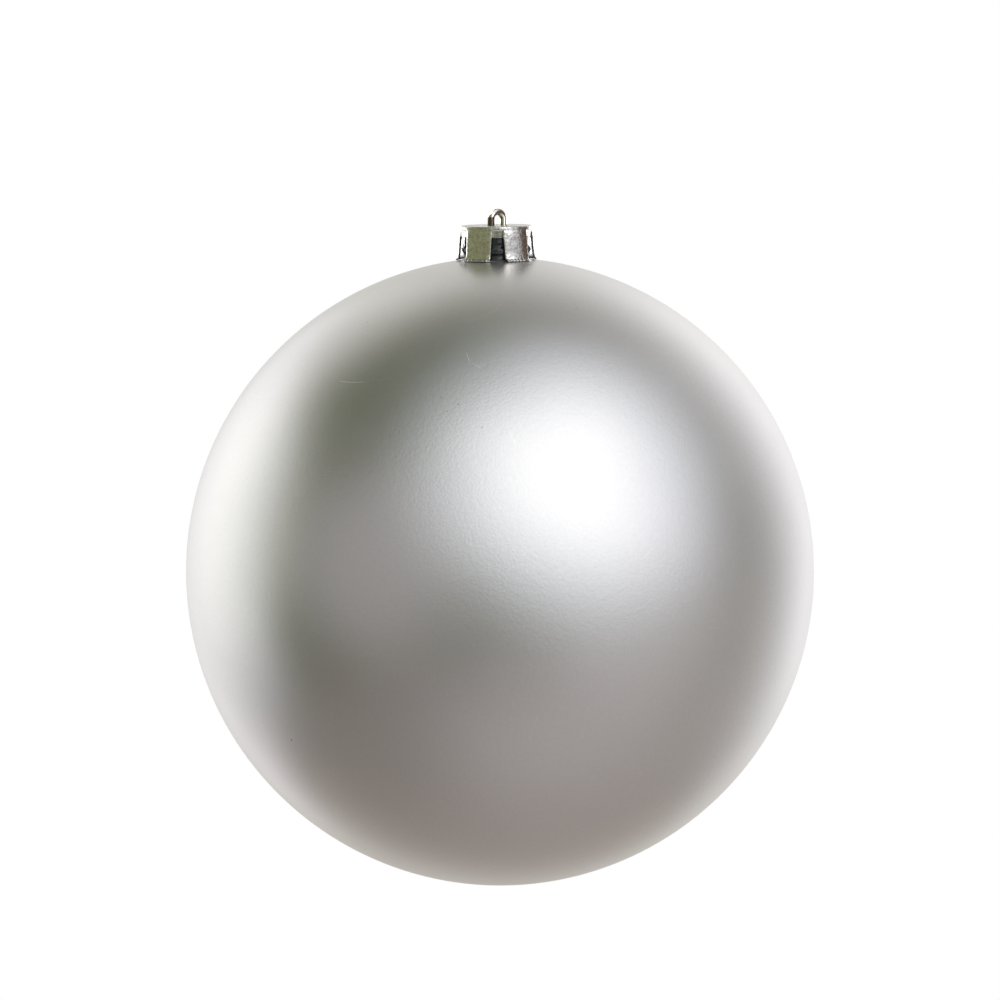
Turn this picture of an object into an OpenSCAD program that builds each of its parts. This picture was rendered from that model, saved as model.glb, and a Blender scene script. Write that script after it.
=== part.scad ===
// Hanging ball ornament: a blown glass ball with a short beaded neck, a pressed
// five-tab metal cap pushed over the neck, and a sprung wire loop through the cap.
// Millimetres. +Z is up. The origin is the hang point: the underside of the loop's
// arch, where a hook or cord bears. The loop lies in the XZ plane.

/* [Glass ball] */
// Outside diameter of the blown sphere
ball_d = 200; // [180:1:220]
// Thickness of the blown wall of the sphere
wall_t = 1.0; // [0.8:0.1:1.4]
// Outside diameter of the neck
neck_d = 20; // [20]
// Thickness of the neck's wall
neck_t = 1.2; // [1.2]
// Largest diameter of the rolled bead round the neck
bead_d = 22; // [22]
// Radius of the bead's own section
bead_r = 1.5; // [1.3:0.1:1.6]
// Radius of the flare where the neck runs into the sphere
flare_r = 1.5; // [1.2:0.1:1.6]

/* [Cap] */
// Thickness of the pressed metal
cap_t = 0.7; // [0.6:0.05:0.75]
// Radius of the cap round its shoulder
cap_r = 11.35; // [11.35]
// Height of the cap from its flat top to the feet of its tabs
cap_h = 10.95; // [10.6:0.05:11.5]
// Radius of the rolled edge between the flat top and the side
shoulder_r = 0.5; // [0.4:0.05:0.6]
// Number of springy tabs, and of the slots between them
tabs = 5; // [5]
// Depth from the flat top to the head of each slot
slot_top = 3.6; // [3.4:0.1:4]
// Width of the narrow slot at its head
slot_w = 3.6; // [3:0.1:4]
// Width of the other slots at their heads
wide_w = 6.2; // [5:0.1:6.6]
// How far each slot widens by its foot, both sides together
slot_taper = 1.2; // [0.6:0.1:1.6]
// Radius of the rounded lower corners of the tabs
corner_r = 1.0; // [0.8:0.1:1.2]
// How far the web above each slot is pressed in
web_in = 0.5; // [0.3:0.1:0.5]

/* [Hanger wire] */
// Diameter of the spring wire
wire_d = 2.3; // [2.3]
// Distance between the centres of the two legs at the cap
leg_gap = 5; // [5]
// Height of the arch's outer top above the cap's flat top
arch_h = 5.5; // [5.2:0.1:6]
// Radial clearance of each leg in its hole through the cap
hole_play = 0.05; // [0.03:0.01:0.1]
// Radial clearance between the bowed legs and the neck's bore
bore_play = 0.05; // [0.03:0.01:0.1]

/* [Hidden] */
$fn = 48;
ball_fn = 120;

ball_r = ball_d / 2;
neck_r = neck_d / 2;
bore_r = neck_r - neck_t;
wire_r = wire_d / 2;
leg_x = leg_gap / 2;

// Heights above the centre of the sphere
foot_z = ball_r - 0.65;              // feet of the tabs, just clear of the sphere
top_z = foot_z + cap_h;              // the cap's flat top
rim_play = 0.05;                     // gap between the rim and the cap's top
rim_z = top_z - cap_t - rim_play;    // the neck's open rim
bead_z = ball_r + 2.6;               // middle of the bead
hang_z = top_z + arch_h - wire_d;    // underside of the arch

// Points of an arc about [x, y] from one angle to another, in a number of steps
function arc(x, y, radius, from, to, steps) = [
    for (i = [0:steps])
        let (angle = from + (to - from) * i / steps)
        [x + radius * cos(angle), y + radius * sin(angle)]
];

// ---- glass ball ----------------------------------------------------------
rim_r = 0.35;                        // rounding of the rim's two edges
root_z = ball_r - 3;                 // bottom of the neck's section
root_in = 2;                         // reach of the root inside the neck's outside
root_out = 1.15;                     // reach of the root beyond it
bore_depth = 8;                      // start of the bore below the sphere's top
bore_h = 30;                         // long enough to pass the rim

// The flare is an arc tangent to the neck and resting on the sphere
flare_x = neck_r + flare_r;
flare_z = sqrt(pow(ball_r + flare_r, 2) - pow(flare_x, 2));
flare_short = 4;                     // degrees the arc stops short of the sphere
flare_end = 180 + atan2(flare_z, flare_x) - flare_short;

module neck_section() {
    polygon(concat(
        [[neck_r - root_in, root_z], [neck_r + root_out, root_z]],
        arc(flare_x, flare_z, flare_r, flare_end, 180, 7),
        arc(neck_r - rim_r, rim_z - rim_r, rim_r, 0, 90, 4),
        arc(bore_r + rim_r, rim_z - rim_r, rim_r, 90, 180, 4),
        [[bore_r, root_z]]
    ));
}

module glass_ball() color([0.74, 0.73, 0.71])
translate([0, 0, -hang_z])
difference() {
    union() {
        sphere(r = ball_r, $fn = ball_fn);
        rotate_extrude() neck_section();
        rotate_extrude() translate([bead_d / 2 - bead_r, bead_z]) circle(r = bead_r);
    }
    sphere(r = ball_r - wall_t, $fn = ball_fn);
    translate([0, 0, ball_r - bore_depth]) cylinder(r = bore_r, h = bore_h);
}

// ---- cap -----------------------------------------------------------------
// The cap is drawn with its flat top at z = 0. One turned section gives the flat
// top, the rolled shoulder and the flared side; the slots cut it into tabs.

// Outer face of the side from the shoulder down: [radius, z]
side_line = [
    [cap_r, -1.2],
    [cap_r + 0.25, -3.3],
    [cap_r + 0.45, -6.3],
    [cap_r + 0.65, -8.6],
    [cap_r + 0.82, -9.6],
    [cap_r + 1.2, -(cap_h - 0.45)],
    [cap_r + 1.75, -cap_h]
];
tab_start = 2;                       // the inner face follows side_line from here down
band_r = neck_r + 0.25;              // inside of the thick top band

module cap_section() {
    polygon(concat(
        [[0, 0]],
        arc(cap_r - shoulder_r, -shoulder_r, shoulder_r, 90, 0, 4),
        side_line,
        [for (i = [len(side_line) - 1:-1:tab_start]) side_line[i] - [cap_t, 0]],
        [
            [side_line[tab_start][0] - cap_t - 0.05, -slot_top - 1],
            [band_r, -slot_top - 0.3],
            [band_r, -cap_t],
            [0, -cap_t]
        ]
    ));
}

head_r = 0.4;                        // corners at the head of a slot
foot_over = 0.05;                    // the tabs' corners start this far below the feet
slot_below = 1;                      // the slot's outline runs on below the corners
cut_in = 8;                          // a slot is cut from this radius outwards
cut_depth = 8;
web_cut_r = 14;                      // outer reach of the cut that presses in a web
web_side = 0.1;                      // the web's cut is narrower by this on each side

// One slot's outline: a head with small corners, widening round the tabs' corners
module slot_outline(width) {
    head_x = width / 2;
    head_y = cap_h - slot_top + foot_over;
    corner_x = head_x + slot_taper / 2 + corner_r;
    translate([0, -cap_h - foot_over]) polygon(concat(
        [[-corner_x, -slot_below]],
        arc(-corner_x, corner_r, corner_r, -90, 0, 5),
        arc(-head_x + head_r, head_y - head_r, head_r, 180, 90, 3),
        arc(head_x - head_r, head_y - head_r, head_r, 90, 0, 3),
        arc(corner_x, corner_r, corner_r, 180, 270, 5),
        [[corner_x, -slot_below]]
    ));
}

// Everything cut away at one slot, the slot facing -Y
module slot_cut(width) {
    translate([0, -cut_in, 0]) rotate([90, 0, 0])
        linear_extrude(cut_depth) slot_outline(width);
    // the flat web above the slot is pressed in
    translate([-width / 2 + web_side, -web_cut_r, -slot_top - 0.5])
        cube([width - 2 * web_side, web_cut_r - cap_r + web_in + 0.1, slot_top - 0.8]);
}

module cap_crown() color([0.72, 0.71, 0.69])
translate([0, 0, top_z - hang_z])
difference() {
    rotate_extrude() cap_section();
    // the last slot is the narrow one
    for (i = [0:tabs - 1])
        rotate([0, 0, 36 + i * 360 / tabs])
            slot_cut(i == tabs - 1 ? slot_w : wide_w);
    for (side = [-1, 1])
        translate([side * leg_x, 0, -cap_t - 1])
            cylinder(r = wire_r + hole_play, h = cap_t + 2);
}

// ---- hanger wire ----------------------------------------------------------
// Drawn with the cap's flat top at z = 0. Each leg has an outward bend, then a
// long bow that reaches out almost to the bore and turns back in.
spring_z = arch_h - wire_r - leg_x;  // centre of the arch
bend_r = 3.2;                        // radius of the outward bend
bend_a = 60;                         // angle it turns through
bend_z = -1.1;                       // where it starts
bend_x = leg_x + bend_r * (1 - cos(bend_a));  // where it ends
bow_x = bore_r - bore_play - wire_r; // furthest the legs' centres stand out
bow_r = (bow_x - bend_x) / (1 - cos(bend_a));
bow_a = 50;                          // how far the bow turns back in
tip_l = 3;                           // straight tip after the bow
point_l = 0.5;                       // tapered point beyond the tip
point_r = 0.4;                       // radius at the end of the point

// Lengths of wire overlap or meet end to end, and alternate ones are slightly thinner
lap = 0.04;
thin_r = wire_r - 0.006;
deg_per_rad = 57.3;

// An arc of wire in the XZ plane about [x, z], turning through sweep from start
module wire_arc(x, z, radius, start, sweep, section)
    translate([x, 0, z]) rotate([90, 0, 0]) rotate([0, 0, start])
        rotate_extrude(angle = sweep) translate([radius, 0]) circle(r = section);

// The +X leg: straight through the cap, out into the bow, back in to the tip
module leg() {
    centre_x = bend_x - bow_r * cos(bend_a);
    centre_z = bend_z - bend_r * sin(bend_a) - bow_r * sin(bend_a);
    tip_x = centre_x + bow_r * cos(bow_a);
    tip_z = centre_z - bow_r * sin(bow_a);
    lap_a = lap / bow_r * deg_per_rad;
    translate([leg_x, 0, bend_z - lap])
        cylinder(r = wire_r, h = spring_z - bend_z + 2 * lap);
    wire_arc(leg_x + bend_r, bend_z, bend_r, 180, bend_a, thin_r);
    wire_arc(centre_x, centre_z, bow_r, -bow_a - lap_a, bow_a + bend_a + 2 * lap_a, wire_r);
    translate([tip_x, 0, tip_z]) rotate([0, 180 + bow_a, 0]) {
        cylinder(r = thin_r, h = tip_l);
        translate([0, 0, tip_l]) cylinder(r1 = thin_r - 0.02, r2 = point_r, h = point_l);
    }
}

module hanger_wire() color([0.78, 0.77, 0.75])
translate([0, 0, top_z - hang_z]) {
    leg();
    mirror([1, 0, 0]) leg();
    wire_arc(0, spring_z, leg_x, 0, 180, thin_r);
}

glass_ball();
cap_crown();
hanger_wire();
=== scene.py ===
"""Hanging ball ornament: a silvered glass ball, a pressed crown cap and a spring wire loop.

The scene is in metres, +Z up, with the origin at the hang point (underside of the wire
loop's arch). Sizes below are millimetres unless a comment says otherwise, and MM turns
them into metres. The ball hangs below the origin, its axis close to the Z axis; the front
is -Y.
"""

import math
from functools import cached_property, reduce

import bmesh  # noqa: E402
import bpy  # noqa: E402
import numpy as np  # noqa: E402
from mathutils import Matrix, Vector, geometry, noise  # noqa: E402


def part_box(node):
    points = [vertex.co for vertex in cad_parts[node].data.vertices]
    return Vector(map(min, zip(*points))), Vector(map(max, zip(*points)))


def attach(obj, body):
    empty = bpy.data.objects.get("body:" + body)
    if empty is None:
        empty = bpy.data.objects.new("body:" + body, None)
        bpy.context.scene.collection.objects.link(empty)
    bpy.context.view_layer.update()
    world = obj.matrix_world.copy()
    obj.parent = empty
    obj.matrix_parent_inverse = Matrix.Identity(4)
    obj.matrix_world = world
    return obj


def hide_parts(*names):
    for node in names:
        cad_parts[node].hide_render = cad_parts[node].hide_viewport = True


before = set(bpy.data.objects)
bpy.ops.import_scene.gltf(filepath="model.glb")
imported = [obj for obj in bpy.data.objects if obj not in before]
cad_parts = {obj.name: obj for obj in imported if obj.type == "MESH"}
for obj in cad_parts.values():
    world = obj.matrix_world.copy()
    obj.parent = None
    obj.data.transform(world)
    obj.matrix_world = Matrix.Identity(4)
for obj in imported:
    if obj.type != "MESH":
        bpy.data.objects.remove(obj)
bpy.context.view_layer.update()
SCENE = bpy.context.scene
MM = 0.001

# --------------------------------------------------------------------------
# Driving dimensions, from the frame where it has them
# --------------------------------------------------------------------------
low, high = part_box("glass_ball")
BALL_R = round((high.x - low.x) * 500, 0)
BALL_Z = low.z * 1000 + BALL_R  # height of the sphere's centre
RIM_Z = high.z * 1000  # the neck's open rim
low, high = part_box("cap_crown")
CAP_Z = high.z * 1000  # the cap's flat top
CAP_H = CAP_Z - low.z * 1000
low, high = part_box("hanger_wire")
ARCH_Z = high.z * 1000
WIRE_R = (high.y - low.y) * 500
NECK_R, BORE_R, BEAD_R = 10.0, 8.8, 11.0
LEG_X = 2.5  # half the distance between the legs' centres
WIRE_SHIFT = 0.45  # the loop was fitted a hair off centre


# --------------------------------------------------------------------------
# Geometry helpers
# --------------------------------------------------------------------------
def mesh_object(name, verts_mm, faces, mats, face_mats=None):
    """A smooth-shaded mesh object from vertices in mm."""
    mesh = bpy.data.meshes.new(name)
    mesh.from_pydata([tuple(v) for v in (np.asarray(verts_mm) * MM)], [], faces)
    for mat in mats:
        mesh.materials.append(mat)
    if face_mats is not None:
        mesh.polygons.foreach_set("material_index", np.asarray(face_mats, np.int32))
    mesh.polygons.foreach_set("use_smooth", np.full(len(mesh.polygons), True))
    mesh.update()
    mesh.validate()
    obj = bpy.data.objects.new(name, mesh)
    SCENE.collection.objects.link(obj)
    return obj


def weld(obj):
    """Merge coincident vertices and turn all faces outwards."""
    bm = bmesh.new()
    bm.from_mesh(obj.data)
    bmesh.ops.remove_doubles(bm, verts=bm.verts, dist=2e-7)
    bmesh.ops.recalc_face_normals(bm, faces=bm.faces)
    bm.to_mesh(obj.data)
    bm.free()
    obj.data.update()


def arc(centre_x, centre_z, radius, start, end, count):
    """Points along an arc, angles in degrees from +X."""
    angles = np.radians(np.linspace(start, end, count))
    return [(centre_x + radius * math.cos(a), centre_z + radius * math.sin(a)) for a in angles]


def smoothstep(start, end, x):
    t = np.clip((x - start) / (end - start), 0, 1)
    return t * t * (3 - 2 * t)


def lumps(points, size, seed):
    """Smooth noise, -1..1, at points in mm; size is that of one lump."""
    offset = Vector((seed * 17.13, seed * 7.77, seed * 3.31))
    return np.array([noise.noise(Vector(p) / size + offset) for p in points])


def direction(azimuth, elevation):
    """Unit vector; degrees, azimuth from -Y towards +X."""
    az, el = math.radians(azimuth), math.radians(elevation)
    return Vector((math.sin(az) * math.cos(el), -math.cos(az) * math.cos(el), math.sin(el)))


# --------------------------------------------------------------------------
# The blown ball: sphere, flared neck, rolled bead, open rim, and the inside
# --------------------------------------------------------------------------
COATED, BARE, INSIDE = 0, 1, 2  # material slots
BALL_SEGMENTS = 224
BALL_WALL = 1.0
FLARE_R = 1.5  # fillet between sphere and neck
BEAD_H = BALL_R + 2.6  # the bead's height above the sphere's centre
BEAD_HALF = 1.55  # half the bead's height
LIP_R = 0.42  # rounding of the rim's two edges
RIPPLE = 0.10  # a faint ring on the neck, above the bead


def ball_profile():
    """Rows of radius, height above the sphere's centre, material slot."""
    profile = []

    def add(points, slot):
        profile.extend((r, h, slot) for r, h in points)

    flare_x = NECK_R + FLARE_R
    flare_h = math.sqrt((BALL_R + FLARE_R) ** 2 - flare_x**2)
    join = math.degrees(math.atan2(flare_h, flare_x))  # where the flare leaves the sphere
    add(arc(0, 0, BALL_R, -90, 78, 102), COATED)
    add(arc(0, 0, BALL_R, 78, join, 8)[1:], COATED)
    add(arc(flare_x, flare_h, FLARE_R, 180 + join, 180, 10)[1:], COATED)

    rim_h = RIM_Z - BALL_Z
    for h in np.linspace(flare_h + 0.12, rim_h - 0.45, 44):
        off = min(abs(h - BEAD_H) / BEAD_HALF, 1)
        swell = (BEAD_R - NECK_R) * math.cos(off * math.pi / 2) ** 1.15
        ripple = RIPPLE * math.exp(-(((h - BEAD_H - 2.6) / 0.5) ** 2))
        add([(NECK_R + swell + ripple - 0.02, h)], BARE)
    add(arc(NECK_R - LIP_R, rim_h - LIP_R, LIP_R, 0, 90, 7), BARE)
    add(arc(BORE_R + LIP_R, rim_h - LIP_R, LIP_R, 90, 180, 7), BARE)

    inner_r = BALL_R - BALL_WALL
    mouth = math.degrees(math.acos((BORE_R + 0.6) / inner_r))
    bore_end = inner_r * math.sin(math.radians(mouth)) + 0.55
    add([(BORE_R, h) for h in np.linspace(rim_h - 1.0, bore_end, 14)], BARE)
    add([(BORE_R + 0.18, bore_end - 0.33)], BARE)
    add(arc(0, 0, inner_r, mouth, -90, 84), INSIDE)
    profile = np.array(profile)
    profile[0, 0] = profile[-1, 0] = 0.0
    return profile


def build_ball(mats):
    profile = ball_profile()
    angles = np.linspace(0, 2 * math.pi, BALL_SEGMENTS, endpoint=False)
    # hand-finished neck: the bead is a little uneven round its ring
    uneven = 0.5 + 0.5 * np.sin(angles * 3 + 0.7) * np.sin(angles * 7 + 2.1)
    verts, starts = [], []
    for r, h, slot in profile:
        starts.append(len(verts))
        if r == 0:
            verts.append((0, 0, h + BALL_Z))
            continue
        radii = np.full(BALL_SEGMENTS, r)
        if slot == BARE and r > BORE_R + 0.5:
            radii = radii - 0.09 * uneven * max(0.0, min(1.0, (r - NECK_R + 0.1) / 0.5))
        for a, q in zip(angles, radii):
            verts.append((q * math.cos(a), q * math.sin(a), h + BALL_Z))

    faces, face_mats = [], []
    for i in range(len(profile) - 1):
        this, above = starts[i], starts[i + 1]
        for j in range(BALL_SEGMENTS):
            k = (j + 1) % BALL_SEGMENTS
            if profile[i, 0] == 0:
                faces.append((this, above + k, above + j))
            elif profile[i + 1, 0] == 0:
                faces.append((this + j, this + k, above))
            else:
                faces.append((this + j, this + k, above + k, above + j))
            face_mats.append(int(max(profile[i, 2], profile[i + 1, 2])))
    return mesh_object("glass_ball_shell", verts, faces, mats, face_mats)


# --------------------------------------------------------------------------
# The pressed cap: flat top with two wire holes, rolled shoulder, pressed-in webs,
# five raised tabs with rounded corners and turned-out feet.
# Its sheet is laid out as a grid: rows run from the flat top down the side, columns
# run round it. Depths are below the flat top.
# --------------------------------------------------------------------------
TABS = 5
SHEET = 0.7  # thickness of the metal
HEAD = 3.6  # depth of the slots' heads
SHOULDER = 11.35
ROLL_R, INNER_ROLL_R = 0.5, 0.15  # the shoulder's roll, outside and inside
FLAT_R = 7.6  # the grid starts here; the top inside it is triangulated
FOOT_CORNER = 1.15  # radius of the tabs' lower corners
SLOT_CORNER = 0.42  # radius of the slots' upper corners
# the side's outline: depth, radius
SIDE = np.array([
    (0.5, 11.35), (1.2, 11.37), (3.3, 11.6), (6.3, 11.8), (8.6, 12.0),
    (9.6, 12.16), (10.1, 12.31), (10.5, 12.58), (10.95, 13.12),
])
SLOT_ANGLES = [math.radians((i + 0.5) * 360 / TABS - 90) for i in range(TABS)]  # from +X
SLOT_WIDTHS = [6.2, 6.2, 6.2, 6.2, 3.6]  # at the heads
SLOT_WIDTH_R = 11.6  # inside this radius the slots' columns draw together
TAB_SPRING = [0.00, 0.07, -0.05, 0.04, -0.06]  # each tab is sprung a little differently
EDGE_STEPS = [0, 0.03, 0.08, 0.16, 0.26, 0.38]  # grid steps in from a free edge
HOLE_R = WIRE_R + 0.06
HOLE_LIP = 0.42  # width of the rounded lip round each wire hole
HOLES_X = (LEG_X + WIRE_SHIFT, -LEG_X + WIRE_SHIFT)
HOLE_SEGMENTS = 56
TOP_SINK = 0.02
HOLE_DIP = 0.03  # the holes are punched: the metal dips a little towards each
# section of a hole's wall: radius beyond the hole's, height from the flat top
HOLE_SECTION = [
    (HOLE_LIP, -0.05), (0.30, -0.055), (0.17, -0.08), (0.07, -0.15), (0.015, -0.24),
    (0.0, -0.34), (0.0, -SHEET + 0.12), (0.04, -SHEET + 0.04), (0.12, -SHEET),
    (HOLE_LIP, -SHEET),
]


def side_r(depth):
    return np.interp(depth, SIDE[:, 0], SIDE[:, 1])


def slot_half(depth, slot):
    """Half the width of a slot, which widens towards the feet."""
    widening = 0.6 * np.clip((depth - HEAD) / (CAP_H - HEAD), 0, 1)
    return float(SLOT_WIDTHS[slot % TABS] / 2 + widening)


def cap_rows():
    """Kind and radius, roll angle or depth of each row, and the index of the heads' row."""
    rows = [("flat", r) for r in np.linspace(FLAT_R, SHOULDER - ROLL_R, 15)]
    rows += [("roll", a) for a in np.linspace(0, 90, 7)[1:]]
    side = list(np.arange(ROLL_R, HEAD - 0.45, 0.2)) + [HEAD - f for f in reversed(EDGE_STEPS)]
    side += [HEAD + f for f in (0.1, 0.2, 0.32, SLOT_CORNER)]
    count = int((CAP_H - 1.2 - HEAD - SLOT_CORNER) / 0.2)
    side += list(np.linspace(HEAD + SLOT_CORNER, CAP_H - 1.2, count + 1)[1:-1])
    side += [CAP_H - f for f in (1.2, 1.0, 0.8, 0.65, 0.5)]
    side += [CAP_H - f for f in reversed(EDGE_STEPS)]
    rows += [("side", d) for d in side]
    heads = next(i for i, r in enumerate(rows) if r[0] == "side" and abs(r[1] - HEAD) < 1e-9)
    return rows, heads


def cap_columns():
    """Kind and position of one sector's columns: across a slot, then the tab after it."""
    columns = [("slot", x) for x in np.sin(np.linspace(-math.pi / 2, math.pi / 2, 17))[:-1]]
    columns += [("tab_start", f) for f in EDGE_STEPS]
    columns += [("tab_middle", x) for x in np.linspace(0, 1, 43)[1:-1]]
    # the last edge step coincides with the next slot's first column
    columns += [("tab_end", f) for f in list(reversed(EDGE_STEPS))[:-1]]
    return columns


def sheet_place(row, column, slot):
    """Depth, arc from the slot's middle, radius, half widths of this slot and the next,
    and the arc between the two slots' middles."""
    kind, value = row
    scale = 1.0
    if kind == "side":
        radius, depth = float(side_r(value)), value
    else:
        if kind == "flat":
            radius, depth = value, 0.0
        else:
            radius = SHOULDER - ROLL_R + ROLL_R * math.sin(math.radians(value))
            depth = ROLL_R - ROLL_R * math.cos(math.radians(value))
        scale = min(radius / SLOT_WIDTH_R, 1.0)
    half, next_half = slot_half(depth, slot) * scale, slot_half(depth, slot + 1) * scale
    up = CAP_H - depth
    turn = 0.0  # how far the foot's rounded corner draws the tab's edge in
    if up < FOOT_CORNER:
        turn = FOOT_CORNER - math.sqrt(max(FOOT_CORNER**2 - (FOOT_CORNER - up) ** 2, 0))
    pitch = 2 * math.pi * radius / TABS
    part, step = column
    if part == "slot":
        x = step * half
    elif part == "tab_start":
        x = half + turn + step
    elif part == "tab_end":
        x = pitch - next_half - turn - step
    else:
        start = half + turn + EDGE_STEPS[-1]
        end = pitch - next_half - turn - EDGE_STEPS[-1]
        x = start + (end - start) * step
    if kind == "side":
        # round the slot's upper corners
        corner_d = HEAD + SLOT_CORNER
        for sign, middle, width in ((1, 0.0, half), (-1, pitch, next_half)):
            away = (x - middle) * sign
            corner_x = width - SLOT_CORNER
            in_rows = HEAD - 1e-6 <= depth <= corner_d + 1e-6
            if in_rows and corner_x - 1e-6 <= abs(away) <= width + 1e-6:
                dx, dd = abs(away) - corner_x, depth - corner_d
                length = math.hypot(dx, dd)
                if length > 1e-9 and dx >= 0 and dd <= 0:
                    reach = corner_x + SLOT_CORNER * dx / length
                    x = middle + sign * math.copysign(reach, away)
                    depth = corner_d + SLOT_CORNER * dd / length
                    break
    return depth, x, radius, half, next_half, pitch


def edge_distance(depth, x, half, next_half, pitch):
    """Distance to the nearest free edge of the side's sheet."""
    best = 9.0
    for away, width in ((abs(x), half), (abs(pitch - x), next_half)):
        dx, dd = away - (width - SLOT_CORNER), (HEAD + SLOT_CORNER) - depth
        if dx > 0 and dd > 0:
            best = min(best, math.hypot(dx, dd) - SLOT_CORNER)
        else:
            best = min(best, max(dx, dd) - SLOT_CORNER)
        beside, up = away - width, CAP_H - depth
        if depth > HEAD + SLOT_CORNER:
            if beside < FOOT_CORNER and up < FOOT_CORNER:
                to_corner = math.hypot(FOOT_CORNER - beside, FOOT_CORNER - up)
                best = min(best, FOOT_CORNER - to_corner)
            else:
                best = min(best, up)
    return max(best, 0.0)


def side_section(depth, x, half, next_half, pitch, slot):
    """Outer radius and height, inner radius and height, of a point on the side."""
    this_past, next_past = abs(x) - half, abs(pitch - x) - next_half
    past = min(this_past, next_past)  # how far inside the raised tab, away from the web
    wide = SLOT_WIDTHS[(slot if this_past < next_past else slot + 1) % TABS] > 5
    raised = float(smoothstep(-1.0, 0.5, past) if wide else smoothstep(-0.30, 0.22, past))
    tab_middle = 4 * (x / pitch) * (1 - x / pitch) if 0 <= x <= pitch else 0
    web = SHOULDER - 0.5 * float(smoothstep(1.05, 1.6, depth))
    outer = side_r(depth)
    if depth < HEAD + 0.6:
        outer = outer * raised + web * (1 - raised)
    # the raised tab starts below the shoulder, with rounded shoulders of its own
    bulge = 0.10 * float(smoothstep(1.2, 1.75, depth)) * raised
    bulge *= float(smoothstep(0, 0.9, past))
    outer += bulge
    outer += TAB_SPRING[slot] * float(smoothstep(4.5, CAP_H, depth)) * tab_middle
    inner_depth = depth + 0.35 * (1 - float(smoothstep(0.5, 2.2, depth)))
    return outer, -depth, outer - SHEET - bulge * 0.5, -inner_depth


def top_section(kind, value):
    """The same four values on the flat top and the rolled shoulder."""
    if kind == "roll":
        s, c = math.sin(math.radians(value)), math.cos(math.radians(value))
        return (SHOULDER - ROLL_R + ROLL_R * s, -ROLL_R + ROLL_R * c,
                SHOULDER - SHEET - INNER_ROLL_R + INNER_ROLL_R * s,
                -(SHEET + INNER_ROLL_R - INNER_ROLL_R * c))
    inner_span = SHOULDER - SHEET - INNER_ROLL_R - FLAT_R
    inner = FLAT_R + (value - FLAT_R) * inner_span / (SHOULDER - ROLL_R - FLAT_R)
    return value, 0.0, inner, -SHEET


def cap_skins(rows, columns):
    """Outer and inner skin of the sheet; they meet along its rounded free edges."""
    outer, inner = [], []
    edge_r = SHEET / 2
    for row in rows:
        for slot in range(TABS):
            for column in columns:
                depth, x, radius, *spans = sheet_place(row, column, slot)
                angle = SLOT_ANGLES[slot] + x / radius
                fullness = 1.0
                if row[0] == "side":
                    edge = edge_distance(depth, x, *spans)
                    fullness = math.sqrt(max(1 - (1 - min(edge / edge_r, 1)) ** 2, 0))
                    section = side_section(depth, x, *spans, slot)
                else:
                    section = top_section(*row)
                out_r, out_z, in_r, in_z = section
                mid_r, mid_z = (out_r + in_r) / 2, (out_z + in_z) / 2
                for skin, r, z in ((outer, out_r, out_z), (inner, in_r, in_z)):
                    r = mid_r + (r - mid_r) * fullness
                    z = mid_z + (z - mid_z) * fullness
                    skin.append((r * math.cos(angle), r * math.sin(angle), z))
    return np.array(outer), np.array(inner)


def top_relief(points):
    """Faint unevenness of the flat top."""
    return 0.018 * lumps(points, 1.5, 2) + 0.008 * lumps(points, 0.62, 1)


def press_texture(outer, inner):
    """Shallow pits about 1 mm across on the side, and puckered feet."""
    depth = -outer[:, 2]
    outwards = outer / np.maximum(np.hypot(outer[:, 0], outer[:, 1]), 1e-6)[:, None]
    outwards[:, 2] = 0
    pits = 0.030 * lumps(outer, 0.62, 1) + 0.035 * lumps(outer, 1.5, 2)
    pits += 0.012 * lumps(outer, 0.33, 5)
    thickness = np.linalg.norm(outer - inner, axis=1) / SHEET
    relief = top_relief(outer)
    amount = pits * smoothstep(0.25, 1.3, depth) * np.clip(thickness, 0, 1)
    outer += outwards * amount[:, None]
    outer[:, 2] += (1 - smoothstep(0.0, 0.5, depth)) * relief
    outer[:, 2] -= TOP_SINK * (1 - smoothstep(0.0, 0.4, depth))
    angle = np.arctan2(outer[:, 1], outer[:, 0])
    waves = 0.8 * np.sin(angle * 60 + 1.6 * np.sin(angle * 7))
    for skin in (outer, inner):
        foot = smoothstep(CAP_H - 1.3, CAP_H - 0.1, -skin[:, 2])
        pucker = waves + 0.35 * lumps(skin * [1, 1, 0], 0.9, 3)
        skin[:, 2] += foot * (0.085 * pucker + 0.06)
        radius = np.maximum(np.hypot(skin[:, 0], skin[:, 1]), 1e-6)
        grow = 1 + (foot * 0.11 * pucker - 0.03 * foot) / radius
        skin[:, 0] *= grow
        skin[:, 1] *= grow


def hole_ring(hole_x, lip):
    """Points round a wire hole, lip beyond its radius."""
    ring = []
    for i in range(HOLE_SEGMENTS):
        a = 2 * math.pi * i / HOLE_SEGMENTS
        ring.append((hole_x + (HOLE_R + lip) * math.cos(a), (HOLE_R + lip) * math.sin(a)))
    return ring


def hole_distance(x, y):
    return min(math.hypot(x - hole_x, y) for hole_x in HOLES_X)


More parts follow.
